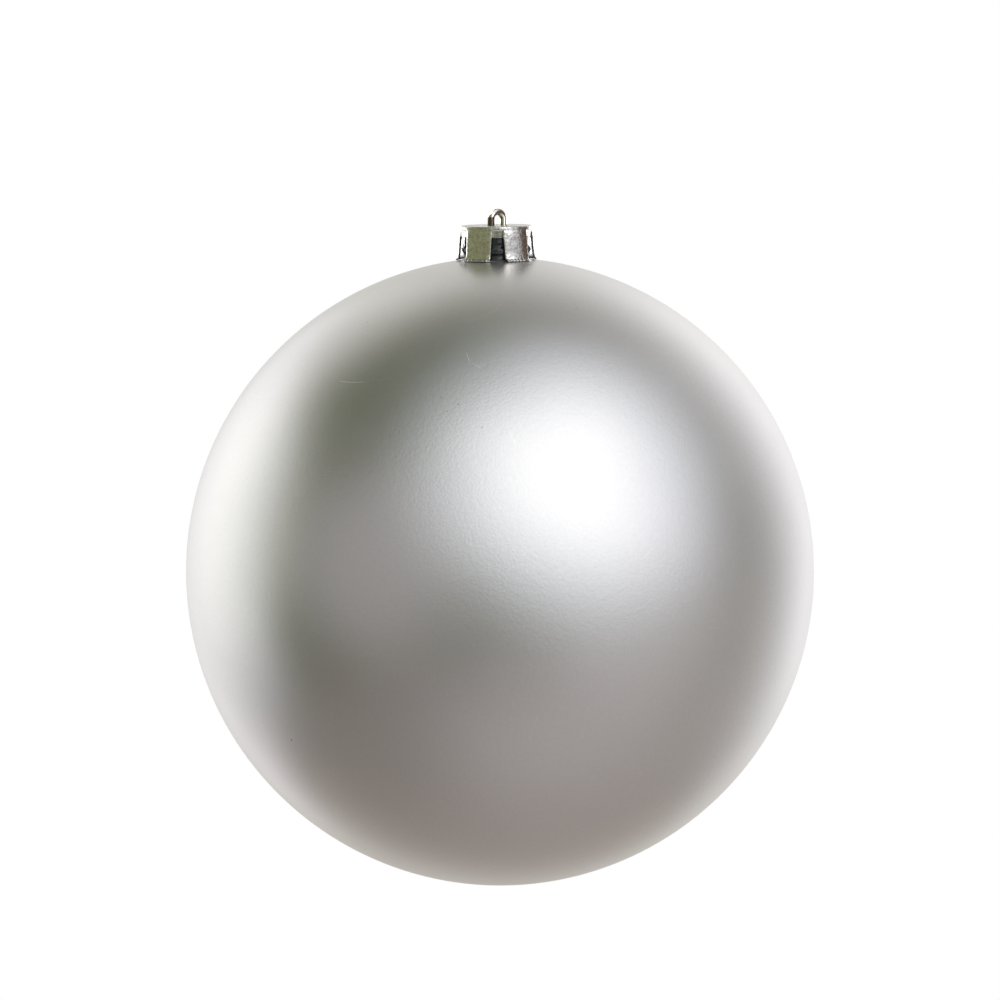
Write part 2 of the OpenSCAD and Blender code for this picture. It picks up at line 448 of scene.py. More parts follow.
def add_top(verts, faces, rim):
    """The flat top inside the rim's points, upper and lower face, less the wire holes."""
    points = [Vector(p[:2]) for p in rim]
    edges = [(i, (i + 1) % len(rim)) for i in range(len(rim))]
    for hole_x in HOLES_X:
        base = len(points)
        points += [Vector(p) for p in hole_ring(hole_x, HOLE_LIP)]
        edges += [(base + i, base + (i + 1) % HOLE_SEGMENTS) for i in range(HOLE_SEGMENTS)]
    step = 0.42
    for iy in range(-20, 21):
        for ix in range(-20, 21):
            x = (ix + 0.5 * (iy % 2)) * step
            y = iy * step * 0.866
            if math.hypot(x, y) > FLAT_R - 0.25:
                continue
            if hole_distance(x, y) < HOLE_R + HOLE_LIP + 0.22:
                continue
            points.append(Vector((x, y)))
    flat, _, triangles, *_ = geometry.delaunay_2d_cdt(points, edges, [], 0, 1e-6)
    kept = []
    for tri in triangles:
        x = sum(flat[i].x for i in tri) / 3
        y = sum(flat[i].y for i in tri) / 3
        if hole_distance(x, y) >= HOLE_R + 0.40:
            kept.append(tri)
    flat_3d = np.array([(p.x, p.y, 0.0) for p in flat])
    distance = np.minimum(*(np.hypot(flat_3d[:, 0] - x, flat_3d[:, 1]) for x in HOLES_X))
    dip = -HOLE_DIP * (1 - smoothstep(HOLE_R + HOLE_LIP, HOLE_R + 1.6, distance))
    heights = top_relief(flat_3d) - TOP_SINK + dip
    upper = len(verts)
    verts += [(p.x, p.y, z) for p, z in zip(flat, heights)]
    lower = len(verts)
    verts += [(p.x, p.y, -SHEET) for p in flat]
    for tri in kept:
        faces.append(tuple(upper + i for i in tri))
        faces.append(tuple(lower + i for i in reversed(tri)))


def add_hole_wall(verts, faces, hole_x):
    start = len(verts)
    for i, (lip, z) in enumerate(HOLE_SECTION):
        for x, y in hole_ring(hole_x, lip):
            if i == 0:  # this ring meets the uneven top
                z = float(top_relief(np.array([[x, y, 0.0]]))[0] - TOP_SINK - HOLE_DIP)
            verts.append((x, y, z))
    for i in range(len(HOLE_SECTION) - 1):
        a = start + i * HOLE_SEGMENTS
        b = a + HOLE_SEGMENTS
        for j in range(HOLE_SEGMENTS):
            k = (j + 1) % HOLE_SEGMENTS
            faces.append((a + j, b + j, b + k, a + k))


def build_cap(mats):
    rows, head_row = cap_rows()
    columns = cap_columns()
    outer, inner = cap_skins(rows, columns)
    press_texture(outer, inner)
    verts = list(outer) + list(inner)
    faces = []
    around_count = len(columns) * TABS
    inside = len(outer)
    for r in range(len(rows) - 1):
        for j in range(around_count):
            if r >= head_row and columns[j % len(columns)][0] == "slot":
                continue
            k = (j + 1) % around_count
            a, b = r * around_count + j, r * around_count + k
            c, d = (r + 1) * around_count + k, (r + 1) * around_count + j
            faces.append((a, d, c, b))
            faces.append((inside + a, inside + b, inside + c, inside + d))
    add_top(verts, faces, outer[:around_count])
    for hole_x in HOLES_X:
        add_hole_wall(verts, faces, hole_x)
    verts = np.array(verts)
    verts[:, 2] += CAP_Z
    obj = mesh_object("crown_cap", verts, faces, mats)
    weld(obj)
    return obj


# --------------------------------------------------------------------------
# The spring wire: arch, legs through the cap, bows inside the neck, tips.
# Heights are from the cap's flat top, angles in degrees.
# --------------------------------------------------------------------------
WIRE_SEGMENTS = 28
BEND_R, BEND_ANGLE, BEND_Z = 3.2, 60.0, -1.1  # the outward bend under the cap
BOW_END = 50.0  # how far the bow curls back below its widest point
BOW_CLEARANCE = 0.05  # between the bow and the bore
TIP_LENGTH = 3.45
END_TAPER = [0.35, 0.45, 0.75, 0.93]  # share of the radius at each end's first points
END_SHORTEN = 0.55  # draws those points together, so that the rounding is short


def wire_path():
    """Centre line in the XZ plane, from one tip over the arch to the other."""
    spring = ARCH_Z - CAP_Z - WIRE_R - LEG_X  # where the arch springs from the legs
    bow_x = BORE_R - BOW_CLEARANCE - WIRE_R
    cos_bend = math.cos(math.radians(BEND_ANGLE))
    bow_r = (bow_x - LEG_X - BEND_R * (1 - cos_bend)) / (1 - cos_bend)
    leg = [(LEG_X, z) for z in np.linspace(spring, BEND_Z, 14)[:-1]]
    leg += arc(LEG_X + BEND_R, BEND_Z, BEND_R, 180, 180 + BEND_ANGLE, 18)
    x, z = leg[-1]
    bow_centre_z = z - bow_r * math.sin(math.radians(BEND_ANGLE))
    leg += arc(x - bow_r * cos_bend, bow_centre_z, bow_r, BEND_ANGLE, -BOW_END, 44)[1:]
    x, z = leg[-1]
    sin_end, cos_end = math.sin(math.radians(BOW_END)), math.cos(math.radians(BOW_END))
    leg += [(x - q * sin_end, z - q * cos_end) for q in np.linspace(0, TIP_LENGTH, 9)[1:]]
    arch = arc(0, spring, LEG_X, 0, 180, 40)
    path = np.array(leg[::-1][:-1] + arch + [(-x, z) for x, z in leg[1:]])
    # fitted a hair off centre, through holes to match; the bows still follow the bore
    path[:, 0] += WIRE_SHIFT * smoothstep(-4.5, -0.9, path[:, 1])
    return path


def build_wire(mats):
    path = wire_path()
    along = np.gradient(path, axis=0)
    along /= np.linalg.norm(along, axis=1)[:, None]
    across = np.stack([-along[:, 1], along[:, 0]], 1)
    radii = np.full(len(path), WIRE_R - 0.004)
    for i, share in enumerate(END_TAPER):
        for k, anchor in ((i, 4), (-1 - i, -5)):
            radii[k] *= share
            path[k] = path[anchor] + (path[k] - path[anchor]) * (END_SHORTEN * (4 - i) / 4)

    verts, faces = [], []
    for p, side, r in zip(path, across, radii):
        for j in range(WIRE_SEGMENTS):
            a = 2 * math.pi * j / WIRE_SEGMENTS
            x = p[0] + side[0] * r * math.cos(a)
            z = p[1] + side[1] * r * math.cos(a) + CAP_Z
            verts.append((x, r * math.sin(a), z))
    last = (len(path) - 1) * WIRE_SEGMENTS
    for a in range(0, last, WIRE_SEGMENTS):
        b = a + WIRE_SEGMENTS
        for j in range(WIRE_SEGMENTS):
            k = (j + 1) % WIRE_SEGMENTS
            faces.append((a + j, a + k, b + k, b + j))
    for base in (0, last):
        centre = len(verts)
        verts.append(tuple(np.mean(np.array(verts[base : base + WIRE_SEGMENTS]), axis=0)))
        for j in range(WIRE_SEGMENTS):
            k = (j + 1) % WIRE_SEGMENTS
            a, b = (k, j) if base == 0 else (j, k)
            faces.append((centre, base + a, base + b))
    obj = mesh_object("spring_hanger", verts, faces, mats)
    weld(obj)
    return obj


# --------------------------------------------------------------------------
# Shader graphs
# --------------------------------------------------------------------------
class Graph:
    """Builds a node tree. Any value may be a number, a tuple or another node's output."""

    def __init__(self, owner, output="ShaderNodeOutputMaterial", coordinates="Object"):
        self.owner = owner
        owner.use_nodes = True
        self.tree = owner.node_tree
        self.tree.nodes.clear()
        self.output = self.node(output)
        self.coordinates = coordinates

    @cached_property
    def place(self):
        return self.node("ShaderNodeTexCoord").outputs[self.coordinates]

    def node(self, kind, inputs=None, **settings):
        node = self.tree.nodes.new(kind)
        for key, value in settings.items():
            setattr(node, key, value)
        for key, value in (inputs or {}).items():
            if value is None:
                continue
            socket = node.inputs[key]
            if isinstance(value, bpy.types.NodeSocket):
                self.tree.links.new(value, socket)
            elif socket.type == "RGBA" and len(value) == 3:
                socket.default_value = (*value, 1)
            else:
                socket.default_value = value
        return node

    def show(self, shader):
        """Send a shader to the output."""
        self.tree.links.new(shader.outputs[0], self.output.inputs[0])
        return self.owner

    def principled(self, inputs):
        return self.show(self.node("ShaderNodeBsdfPrincipled", inputs))

    def emission(self, colour):
        return self.node("ShaderNodeEmission", {"Color": colour})

    def noise(self, scale, detail=2.0, rough=0.5, distortion=0.0, place=None):
        """Scale is in lumps per metre, unless the place is already stretched."""
        inputs = {"Scale": scale, "Detail": detail, "Roughness": rough,
                  "Distortion": distortion, "Vector": place or self.place}
        return self.node("ShaderNodeTexNoise", inputs).outputs["Fac"]

    def stretched(self, scale, rotation=(0, 0, 0)):
        inputs = {"Scale": scale, "Rotation": rotation, "Vector": self.place}
        return self.node("ShaderNodeMapping", inputs).outputs[0]

    def voronoi(self, scale, feature="F1"):
        inputs = {"Scale": scale, "Vector": self.place}
        return self.node("ShaderNodeTexVoronoi", inputs, feature=feature)

    def ramp(self, value, over, to=(0, 1), smooth=False):
        """Map the range `over` to the range `to`, clamped."""
        inputs = {"From Min": over[0], "From Max": over[1], "To Min": to[0],
                  "To Max": to[1], "Value": value}
        kind = "SMOOTHSTEP" if smooth else "LINEAR"
        return self.node("ShaderNodeMapRange", inputs, interpolation_type=kind).outputs[0]

    def math(self, operation, a, b=None):
        return self.node("ShaderNodeMath", {0: a, 1: b}, operation=operation).outputs[0]

    def times(self, a, b):
        return self.math("MULTIPLY", a, b)

    def add(self, a, b, share=None):
        """a + b, or a + b * share."""
        return self.math("ADD", a, b if share is None else self.times(b, share))

    def less(self, a, b, share=None):
        """a - b, or a - b * share."""
        return self.math("SUBTRACT", a, b if share is None else self.times(b, share))

    def inverse(self, a):
        return self.less(1.0, a)

    def waver(self, value, pattern, amount):
        """Move a value up and down with a pattern centred on 0.5."""
        return self.add(value, self.less(pattern, 0.5), amount)

    def strongest(self, masks):
        return reduce(lambda a, b: self.math("MAXIMUM", a, b), masks)

    def vector(self, operation, a, b=None, scale=None):
        inputs = {0: a, 1: b, "Scale": scale}
        node = self.node("ShaderNodeVectorMath", inputs, operation=operation)
        is_number = operation in ("DOT_PRODUCT", "DISTANCE", "LENGTH")
        return node.outputs["Value" if is_number else "Vector"]

    def split(self, vector):
        return self.node("ShaderNodeSeparateXYZ", {0: vector}).outputs

    def mix(self, base, colour, mask, strength=None):
        """Lay a colour over the base where the mask is 1, at a given strength."""
        amount = mask if strength is None else self.times(mask, strength)
        inputs = {0: amount, 6: base, 7: colour}
        return self.node("ShaderNodeMix", inputs, data_type="RGBA").outputs[2]

    def bump(self, height, distance, strength=1.0):
        """Distance is in metres."""
        inputs = {"Distance": distance, "Strength": strength, "Height": height}
        return self.node("ShaderNodeBump", inputs).outputs[0]


# --------------------------------------------------------------------------
# Materials. Distances in their masks are metres.
# --------------------------------------------------------------------------
# A few marks of handling on the coat. Hairlines: three points along each (azimuth from
# -Y and elevation on the ball, degrees) and how strongly it shows.
HAIRLINES = [
    ((-78.1, 41.26), (-74.16, 41.14), (-70.53, 41.38), 1.0),
    ((-67.68, 41.7), (-65.73, 42.1), (-63.95, 42.85), 0.3),
    ((-46.32, 48.43), (-45.82, 47.35), (-45.25, 46.29), 0.9),
    ((-44.71, 45.95), (-43.41, 45.37), (-42.13, 44.68), 0.5),
    ((-48.21, 56.29), (-42.69, 58.03), (-35.63, 63.11), 0.3),
]
# Specks: azimuth, elevation (degrees) and radius (mm)
SPECKS = [
    (-83.46, 55.76, 0.34), (-50.73, 38.5, 0.3), (-46.86, 37.06, 0.34),
    (-49.06, 35.66, 0.26), (-41.5, 32.44, 0.34), (-9.17, 59.77, 0.3),
]
# Streaks of fine scratches in three directions: rotation, scale, noise level they start at
STREAKS = [
    ((0.3, 0.5, 0.2), (60, 2100, 60), 0.745),
    ((1.1, 0.2, 0.9), (1900, 55, 70), 0.75),
    ((0.2, 1.4, 0.4), (70, 70, 2200), 0.75),
]


def handling_marks(m):
    """Two masks, hairlines and specks, on the ball's surface."""
    p = m.vector("NORMALIZE", m.vector("SUBTRACT", m.place, (0, 0, BALL_Z * MM)))
    lines, specks = [], []
    for *ends_and_middle, strength in HAIRLINES:
        a, b, c = (direction(*point) for point in ends_and_middle)
        axis = (b - a).cross(c - a).normalized()  # of the circle through the three
        offset = axis.dot(a)
        middle, half = (a + c).normalized(), a.angle(c) / 2
        away = m.math("ABSOLUTE", m.less(m.vector("DOT_PRODUCT", p, axis), offset))
        away_mm = m.times(away, BALL_R / math.sqrt(1 - offset * offset))
        line = m.ramp(away_mm, over=(0.05, 0.19), to=(strength, 0), smooth=True)
        from_middle = m.vector("DISTANCE", p, middle)
        ends = m.ramp(from_middle, over=(half * 0.75, half * 1.1), to=(1, 0), smooth=True)
        lines.append(m.times(line, ends))
    for azimuth, elevation, r in SPECKS:
        away = m.vector("DISTANCE", p, direction(azimuth, elevation))
        fade = (r * 0.6 / BALL_R, r * 1.25 / BALL_R)
        specks.append(m.ramp(away, over=fade, to=(1, 0), smooth=True))
    return m.strongest(lines), m.strongest(specks)


def satin_silver():
    """Silvered glass under a satin coat: fine orange peel, faint hairlines, rare specks."""
    m = Graph(bpy.data.materials.new("satin_silver_coat"))

    # orange peel of the coat, stronger in some patches
    patch = m.ramp(m.noise(scale=28), over=(0.35, 0.7), to=(0.65, 1.0))
    peel = m.times(m.noise(scale=1180, detail=3), patch)
    grain = m.noise(scale=5200, rough=0.6)
    peel = m.add(peel, m.noise(scale=560), share=0.5)
    normal = m.bump(m.add(peel, grain, share=0.05), distance=0.00004)

    # fine scratches: thin long streaks, only in some areas
    streaks = []
    for rotation, scale, level in STREAKS:
        streak = m.noise(scale=1.0, detail=1, rough=0.4, place=m.stretched(scale, rotation))
        streaks.append(m.ramp(streak, over=(level, level + 0.02), smooth=True))
    gate = m.ramp(m.noise(scale=30, detail=1), over=(0.52, 0.62), smooth=True)
    hair = m.times(m.strongest(streaks), gate)

    # rare dark specks under the coat: a few of the cells' centres
    cells = m.voronoi(scale=46)
    near = m.ramp(cells.outputs["Distance"], over=(0.010, 0.020), to=(1, 0), smooth=True)
    pick = m.node("ShaderNodeSeparateColor", {0: cells.outputs["Color"]}).outputs[0]
    speck = m.times(near, m.math("GREATER_THAN", pick, b=0.82))

    cloud = m.ramp(m.noise(scale=11, detail=3, rough=0.55), over=(0.3, 0.7))
    base = m.mix(base=(0.635, 0.626, 0.606), colour=(0.662, 0.653, 0.635), mask=cloud)
    base = m.mix(base, colour=(0.10, 0.085, 0.07), mask=speck, strength=0.85)
    base = m.mix(base, colour=(0.86, 0.86, 0.86), mask=hair, strength=0.16)
    lines, dots = handling_marks(m)
    base = m.mix(base, colour=(0.10, 0.09, 0.08), mask=dots, strength=0.32)
    base = m.mix(base, colour=(0.97, 0.97, 0.96), mask=lines)
    # the coat's tone wanders very slightly from spot to spot
    tone = m.noise(scale=950, detail=3, rough=0.7)
    base = m.vector("SCALE", base, scale=m.ramp(tone, over=(0.3, 0.7), to=(0.975, 1.025)))

    smears = m.noise(scale=17, detail=4, rough=0.6)
    rough = m.ramp(smears, over=(0.3, 0.7), to=(0.335, 0.375))
    rough = m.waver(rough, grain, amount=0.05)
    rough = m.less(rough, hair, share=0.03)

    # towards the neck the coat thins out and the bare dark glass shows; this dark zone starts
    # below the coat's end, over the flare and a thin ring of the sphere's top, as a painted
    # reflection of the dark neck
    ragged = m.noise(scale=420, detail=3, rough=0.6)
    height = m.waver(m.split(m.place)["Z"], ragged, amount=0.0006)
    coat_end = (BALL_Z + BALL_R - 0.75) * MM
    bare = m.ramp(height, over=(coat_end, coat_end + 0.0005), smooth=True)
    base = m.mix(base, colour=(0.022, 0.023, 0.026), mask=bare)
    rough = m.add(m.times(rough, m.inverse(bare)), bare, share=0.10)
    return m.principled({"Base Color": base, "Roughness": rough,
                         "Metallic": m.inverse(bare), "Normal": normal})


def bare_neck():
    """The uncoated neck: glossy, near-black glass with a few draw rings and dust."""
    m = Graph(bpy.data.materials.new("bare_neck_glass"))
    rings = m.noise(scale=1.0, place=m.stretched(scale=(60, 60, 1500)))
    height = m.add(m.times(rings, 0.6), m.noise(scale=330, detail=3))
    normal = m.bump(height, distance=0.00006, strength=0.5)
    dust = m.noise(scale=2600, detail=3, rough=0.6)
    dust = m.ramp(dust, over=(0.58, 0.78), smooth=True)
    base = m.mix(base=(0.012, 0.013, 0.016), colour=(0.16, 0.16, 0.165),
                 mask=dust, strength=0.35)
    smears = m.noise(scale=240, detail=3, rough=0.6)
    rough = m.add(m.ramp(smears, over=(0.35, 0.7), to=(0.07, 0.16)), dust, share=0.25)
    # at a glancing angle a dull film hides the glass's shine
    glance = m.node("ShaderNodeLayerWeight", {"Blend": 0.5}).outputs["Facing"]
    ior = m.ramp(glance, over=(0.45, 0.72), to=(1.5, 1.04), smooth=True)
    return m.principled({"Base Color": base, "Roughness": rough, "Metallic": 0.0,
                         "Normal": normal, "IOR": ior})


def inner_silvering():
    """The inside of the shell: dull, slightly stained silvering."""
    m = Graph(bpy.data.materials.new("inner_silvering"))
    dark_patch = m.noise(scale=26, detail=4, rough=0.6)
    dark_patch = m.ramp(dark_patch, over=(0.35, 0.7), smooth=True)
    base = m.mix(base=(0.40, 0.39, 0.37), colour=(0.22, 0.19, 0.15), mask=dark_patch)
    height = m.noise(scale=900, detail=3, rough=0.6)
    normal = m.bump(height, distance=0.00004, strength=0.5)
    smears = m.noise(scale=60, detail=3, rough=0.6)
    rough = m.ramp(smears, over=(0.3, 0.7), to=(0.38, 0.6))
    return m.principled({"Base Color": base, "Roughness": rough, "Metallic": 0.9,
                         "Normal": normal})


def plated_cap():
    """Pressed, plated cap: mottled skin, faint warm tarnish, a painted highlight along its edges
    and painted shade in its creases, webs and tab sides.
    """
    m = Graph(bpy.data.materials.new("plated_cap_metal"))
    cells = m.voronoi(scale=1150, feature="SMOOTH_F1")
    pits = m.ramp(cells.outputs["Distance"], over=(0.0, 0.75))
    fine = m.noise(scale=3100, detail=3, rough=0.65)
    mottle = m.noise(scale=1500, detail=3, rough=0.6, distortion=0.6)
    height = m.add(m.times(pits, 0.55), m.add(m.times(mottle, 0.8), fine, share=0.25))
    normal = m.bump(height, distance=0.00011, strength=0.8)

    tarnish = m.noise(scale=520, detail=4, rough=0.65)
    tarnish = m.ramp(tarnish, over=(0.42, 0.68), smooth=True)
    blotch = m.noise(scale=1250, detail=3, rough=0.6, distortion=0.4)
    blotch = m.ramp(blotch, over=(0.36, 0.66), smooth=True)
    surface = m.node("ShaderNodeNewGeometry").outputs
    # brighter colour on convex edges: a painted highlight where light catches the rounded edges
    edge = m.ramp(surface["Pointiness"], over=(0.50, 0.56), smooth=True)
    # darker colour in concave creases: painted shade
    crease_shade = m.ramp(surface["Pointiness"], over=(0.44, 0.495), to=(1, 0), smooth=True)
    base = m.mix(base=(0.54, 0.53, 0.51), colour=(0.40, 0.38, 0.34), mask=tarnish)
    base = m.mix(base, colour=(0.27, 0.26, 0.23), mask=blotch, strength=0.55)
    base = m.mix(base, colour=(0.20, 0.17, 0.14), mask=crease_shade, strength=0.55)
    base = m.mix(base, colour=(0.80, 0.795, 0.78), mask=edge, strength=0.75)

    # the inside was never handled: it keeps its bright, smooth plating.
    # facing is the distance from the axis, scaled by how squarely the face looks outwards
    place = m.split(m.place)
    radial = m.node("ShaderNodeCombineXYZ", {0: place["X"], 1: place["Y"]}).outputs[0]
    facing = m.vector("DOT_PRODUCT", radial, surface["True Normal"])
    inside = m.ramp(facing, over=(-0.0100, -0.0108))
    base = m.mix(base, colour=(0.80, 0.79, 0.77), mask=inside)
    # painted shade: the pressed-in webs between the raised tabs are darkened
    reach = m.ramp(m.vector("LENGTH", radial), over=(0.01105, 0.01120), to=(1, 0))
    web = m.times(reach, m.ramp(facing, over=(0.008, 0.010)))
    base = m.mix(base, colour=(0.16, 0.14, 0.12), mask=web, strength=0.45)
    # painted shade: the cut side faces of the tabs, below the slots' heads, are made near-black
    upward = m.split(surface["True Normal"])["Z"]
    level = m.ramp(m.math("ABSOLUTE", upward), over=(0.45, 0.75), to=(1, 0))
    shear = m.times(m.ramp(facing, over=(0.0097, 0.0111), to=(1, 0)),
                    m.ramp(facing, over=(-0.0112, -0.0104)))
    below = ((CAP_Z - HEAD + 0.3) * MM, (CAP_Z - HEAD + 0.1) * MM)
    tab_side_shade = m.times(m.times(level, shear), m.ramp(place["Z"], over=below))
    base = m.mix(base, colour=(0.045, 0.04, 0.035), mask=tab_side_shade, strength=0.92)

    rough = m.ramp(mottle, over=(0.3, 0.72), to=(0.13, 0.27))
    rough = m.add(rough, tarnish, share=0.06)
    rough = m.less(rough, edge, share=0.06)
    rough = m.less(rough, inside, share=0.12)
    rough = m.add(rough, tab_side_shade, share=0.2)
    # the flat top is scuffed duller than the sides
    rough = m.add(rough, m.ramp(upward, over=(0.85, 0.97)), share=0.15)
    return m.principled({"Base Color": base, "Roughness": rough, "Metallic": 1.0,
                         "Normal": normal})


def spring_wire():
    """Bright drawn spring wire with fine lines and small nicks."""
    m = Graph(bpy.data.materials.new("drawn_spring_wire"))
    lines = m.noise(scale=1.0, place=m.stretched(scale=(1400, 3600, 260)))
    nicks = m.noise(scale=1900, detail=3, rough=0.6)
    nicks = m.ramp(nicks, over=(0.62, 0.75), smooth=True)
    height = m.add(m.times(lines, 0.5), nicks, share=-0.6)
    normal = m.bump(height, distance=0.00002, strength=0.5)
    patches = m.ramp(m.noise(scale=700, detail=3, rough=0.6), over=(0.35, 0.7))
    base = m.mix(base=(0.55, 0.53, 0.485), colour=(0.42, 0.395, 0.34), mask=patches)
    # painted shade: the foot of the -X leg is made near-black, with a ragged edge, standing in
    # for a dark reflection
    place = m.split(m.place)
    ragged = m.noise(scale=900, detail=3, rough=0.6)
    height = m.waver(place["Z"], ragged, amount=0.0012)
    top = (CAP_Z + 2.55) * MM
    dark_patch = m.times(m.ramp(height, over=(top, top + 0.0004), to=(1, 0), smooth=True),
                    m.ramp(place["X"], over=(-0.0003, 0.0), to=(1, 0)))
    base = m.mix(base, colour=(0.06, 0.042, 0.034), mask=dark_patch, strength=0.95)
    smears = m.noise(scale=1100, detail=3, rough=0.6)
    rough = m.ramp(smears, over=(0.3, 0.7), to=(0.09, 0.20))
    rough = m.add(rough, dark_patch, share=0.22)
    return m.principled({"Base Color": base, "Roughness": rough, "Metallic": 1.0,
                         "Normal": normal})


ball_mats = [satin_silver(), bare_neck(), inner_silvering()]
cap_mats, wire_mats = [plated_cap()], [spring_wire()]

ball = build_ball(ball_mats)
cap = build_cap(cap_mats)
wire = build_wire(wire_mats)

for piece, body, node, slot in (
    (ball, "ball", "glass_ball", "silvered_glass"),
    (cap, "cap", "cap_crown", "plated_cap"),
    (wire, "hanger", "hanger_wire", "spring_wire"),
):
    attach(piece, body)
    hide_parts(node)

# --------------------------------------------------------------------------
# Camera: a long lens, left of the front and a little above the ball's centre
# --------------------------------------------------------------------------
CAM_AZIMUTH, CAM_ELEVATION = -38.2, 7.0  # degrees
CAM_DISTANCE = 1400.0  # from the ball's centre
CAM_ROLL = math.radians(0.66)
CAM_TILT = math.radians(0.9293319)  # up from the ball's centre, which so sits low in view
LENS = 157.83669
SENSOR = 36.0

TO_CAMERA = direction(CAM_AZIMUTH, CAM_ELEVATION)
VIEW_RIGHT = Vector((math.cos(math.radians(CAM_AZIMUTH)), math.sin(math.radians(CAM_AZIMUTH)), 0))
VIEW_UP = TO_CAMERA.cross(VIEW_RIGHT)
cam_data = bpy.data.cameras.new("camera")
cam_data.sensor_width = SENSOR
cam_data.lens = LENS
cam_data.clip_start, cam_data.clip_end = 0.05, 50.0  # metres
cam = bpy.data.objects.new("camera", cam_data)
SCENE.collection.objects.link(cam)
basis = Matrix((VIEW_RIGHT, VIEW_UP, TO_CAMERA)).transposed()
basis = basis @ Matrix.Rotation(-CAM_ROLL, 3, "Z") @ Matrix.Rotation(CAM_TILT, 3, "X")
cam_place = (Vector((0, 0, BALL_Z)) + TO_CAMERA * CAM_DISTANCE) * MM
cam.matrix_world = Matrix.Translation(cam_place) @ basis.to_4x4()
SCENE.camera = cam

# --------------------------------------------------------------------------
# Floor: plain white, well below the hanging ball
# --------------------------------------------------------------------------
FLOOR_Z = BALL_Z - BALL_R - 260
FLOOR_SIZE = 30  # metres


def stage_white():
    m = Graph(bpy.data.materials.new("stage_pale"))
    return m.show(m.emission(colour=(1, 1, 1)))


bpy.ops.mesh.primitive_plane_add(size=FLOOR_SIZE, location=(0, 0, FLOOR_Z * MM))
floor = bpy.context.object
floor.name = "stage_floor"
floor.data.materials.append(stage_white())
# mirrored and bounced rays take the studio's own floor glow instead
floor.visible_glossy = floor.visible_diffuse = floor.visible_shadow = False

# --------------------------------------------------------------------------
# World: a soft studio drawn as a few large lights round the object. The camera
# sees plain white behind everything.
# --------------------------------------------------------------------------
FILL = (0.11, 0.12, 0.065)  # the dim room between the lights
# Angles are degrees: azimuth right of the camera, elevation from its line of sight.
# A spot: azimuth, elevation, radius of its full core, radius where it ends.
# A panel: azimuth, elevation, half width, half height, softness of its edge.
LIGHTS = [
    ("panel", (25, 34, 28, 29, 17), (0.77, 0.73, 0.71)),  # key
    ("spot", (30, 35, 24, 64), (0.87, 0.92, 1.06)),  # the key's wide halo
    ("spot", (-45, 4, 15, 41), (0.33, 0.30, 0.36)),  # front left
    ("spot", (51, -8, 5, 43), (0.22, 0.21, 0.24)),  # front right
    ("spot", (27, -44, 4, 61), (0.09, 0.09, 0.11)),  # front low
    ("spot", (-60, -90, 40, 74), (0.19, 0.15, 0.19)),  # floor bounce
    ("spot", (82, -52, 12, 71), (0.14, 0.13, 0.13)),  # floor bounce, right
    ("spot", (110, 25, 30, 76), (0.21, 0.19, 0.23)),  # high right
    ("spot", (190, 11, 7, 70), (0.665, 0.655, 0.66)),  # backdrop
    ("spot", (191, -37, 30, 44), (0.06, 0.04, 0.03)),  # foot of the backdrop
    ("panel", (-129, 2, 33, 33, 5), (0.44, 0.43, 0.52)),  # left wall
    ("spot", (-113, 10, 4, 37), (0.71, 0.73, 0.69)),  # left wall's bright middle
    ("panel", (142, 8, 22, 34, 20), (0.70, 0.70, 0.76)),  # right wall
    ("spot", (-143, 41, 3, 29), (0.30, 0.29, 0.31)),  # back of the left wall, high up
]
# A dim card overhead, left of the key: a spot, and the share of light it takes away
CARD, CARD_SHADE = (-25, 69, 3, 24), 0.22


def view_direction(azimuth, elevation):
    az, el = math.radians(azimuth), math.radians(elevation)
    across, along = math.sin(az) * math.cos(el), math.cos(az) * math.cos(el)
    return (VIEW_RIGHT * across + VIEW_UP * math.sin(el) + TO_CAMERA * along).normalized()


def spot_mask(w, azimuth, elevation, core, end):
    towards = w.vector("DOT_PRODUCT", w.place, view_direction(azimuth, elevation))
    fade = (math.cos(math.radians(end)), math.cos(math.radians(core)))
    return w.ramp(towards, over=fade, smooth=True)


def panel_mask(w, azimuth, elevation, width, height, soft):
    normal = view_direction(azimuth, elevation)
    side = VIEW_UP.cross(normal).normalized()
    towards = w.vector("DOT_PRODUCT", w.place, normal)
    mask = w.math("GREATER_THAN", towards, 0.0)
    for axis, size in ((side, width), (normal.cross(side), height)):
        off = w.math("ABSOLUTE", w.vector("DOT_PRODUCT", w.place, axis))
        angle = w.math("DEGREES", w.math("ARCTAN2", off, towards))
        beyond = w.ramp(angle, over=(size - soft, size + soft), smooth=True)
        mask = w.times(mask, w.inverse(beyond))
    return mask


def build_world():
    world = bpy.data.worlds.new("studio")
    SCENE.world = world
    w = Graph(world, output="ShaderNodeOutputWorld", coordinates="Generated")
    total = FILL
    for kind, shape, colour in LIGHTS:
        mask = (spot_mask if kind == "spot" else panel_mask)(w, *shape)
        total = w.vector("ADD", total, w.vector("SCALE", colour, scale=mask))
    shade = w.inverse(w.times(spot_mask(w, *CARD), CARD_SHADE))
    studio = w.node("ShaderNodeBackground", {"Color": w.vector("SCALE", total, scale=shade)})
    white = w.node("ShaderNodeBackground", {"Color": (1, 1, 1)})
    is_camera = w.node("ShaderNodeLightPath").outputs["Is Camera Ray"]
    inputs = {0: is_camera, 1: studio.outputs[0], 2: white.outputs[0]}
    w.show(w.node("ShaderNodeMixShader", inputs))
    world.cycles.sampling_method = "AUTOMATIC"


build_world()

